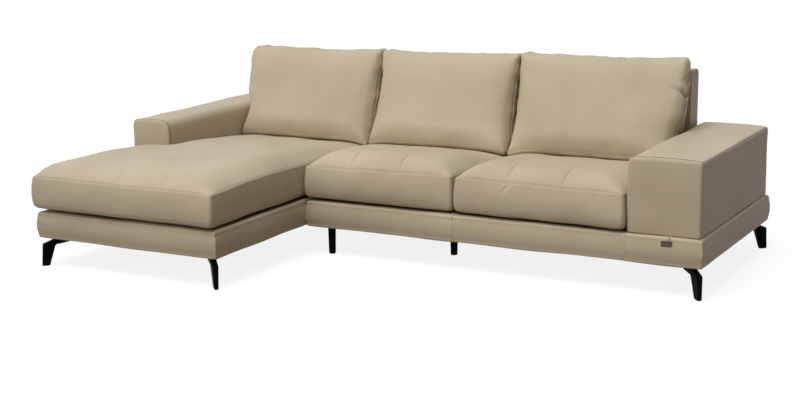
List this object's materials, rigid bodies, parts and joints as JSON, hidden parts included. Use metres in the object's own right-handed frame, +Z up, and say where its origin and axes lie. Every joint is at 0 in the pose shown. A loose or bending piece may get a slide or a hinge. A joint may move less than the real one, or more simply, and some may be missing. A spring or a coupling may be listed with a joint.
{
  "type": "corner sofa",
  "caption": "Leather corner sofa with a chaise on the left, channelled seat cushions, loose back pillows, padded base band and black cast blade legs.",
  "frame": {"origin": "on the floor under the middle of the sofa's outline", "axes": "+X to the right as seen from the front, front towards -Y, +Z up"},
  "size_m": [2.8109, 1.73, 0.8555],
  "materials": {
    "leather": "satin",
    "black_metal": "matte",
    "black_plastic": "matte",
    "glide_plastic": "matte",
    "steel": "satin",
    "webbing": "matte",
    "deck_cloth": "matte",
    "dust_cloth": "matte",
    "timber": "matte"
  },
  "bodies": {
    "sofa_frame": {"arm_bolts": "steel", "back_bolts": "steel", "blade_leg_glides": "glide_plastic", "chaise_back_cover": "leather", "chaise_back_posts": "timber", "chaise_back_rails": "timber", "chaise_corner_blocks": "timber", "chaise_cross_rails": "timber", "chaise_deck": "deck_cloth", "chaise_dust_cover": "dust_cloth", "chaise_front_band": "leather", "chaise_front_left_leg": "black_metal", "chaise_front_right_leg": "black_metal", "chaise_left_band": "leather", "chaise_long_rails": "timber", "chaise_rear_band": "leather", "chaise_rear_left_leg": "black_metal", "chaise_rear_support_leg": "black_plastic", "chaise_right_band": "leather", "chaise_webbing": "webbing", "coupling_plates": "steel", "coupling_screws": "steel", "left_arm_cover": "leather", "left_arm_frame": "timber", "left_arm_front_panel": "leather", "leg_screws": "steel", "main_arm_band": "leather", "main_back_cover": "leather", "main_back_posts": "timber", "main_back_rails": "timber", "main_centre_support_leg": "black_plastic", "main_corner_blocks": "timber", "main_cross_rails": "timber", "main_deck": "deck_cloth", "main_dust_cover": "dust_cloth", "main_front_band_left": "leather", "main_front_band_right": "leather", "main_front_right_leg": "black_metal", "main_front_support_leg": "black_plastic", "main_left_band": "leather", "main_long_rails": "timber", "main_rear_band": "leather", "main_rear_right_leg": "black_metal", "main_rear_support_leg": "black_plastic", "main_right_band": "leather", "main_webbing": "webbing", "right_arm_cover": "leather", "right_arm_frame": "timber", "right_arm_front_panel": "leather", "support_leg_glides": "glide_plastic"},
    "chaise_cushion_body": {"chaise_cushion": "leather"},
    "seat_cushion_left_body": {"seat_cushion_left": "leather"},
    "seat_cushion_right_body": {"seat_cushion_right": "leather"},
    "back_cushion_left_body": {"back_cushion_left": "leather"},
    "back_cushion_centre_body": {"back_cushion_centre": "leather"},
    "back_cushion_right_body": {"back_cushion_right": "leather"}
  },
  "joints": [
    {"name": "chaise_cushion_pull", "type": "slide", "parent": "sofa_frame", "child": "chaise_cushion_body", "axis": [0, -1, 0], "range_m": [0, 0.3]},
    {"name": "seat_cushion_left_pull", "type": "slide", "parent": "sofa_frame", "child": "seat_cushion_left_body", "axis": [0, -1, 0], "range_m": [0, 0.3]},
    {"name": "seat_cushion_right_pull", "type": "slide", "parent": "sofa_frame", "child": "seat_cushion_right_body", "axis": [0, -1, 0], "range_m": [0, 0.3]},
    {"name": "back_cushion_left_lift", "type": "slide", "parent": "sofa_frame", "child": "back_cushion_left_body", "axis": [0, 0, 1], "range_m": [0, 0.47]},
    {"name": "back_cushion_centre_lift", "type": "slide", "parent": "sofa_frame", "child": "back_cushion_centre_body", "axis": [0, 0, 1], "range_m": [0, 0.47]},
    {"name": "back_cushion_right_lift", "type": "slide", "parent": "sofa_frame", "child": "back_cushion_right_body", "axis": [0, 0, 1], "range_m": [0, 0.47]}
  ]
}
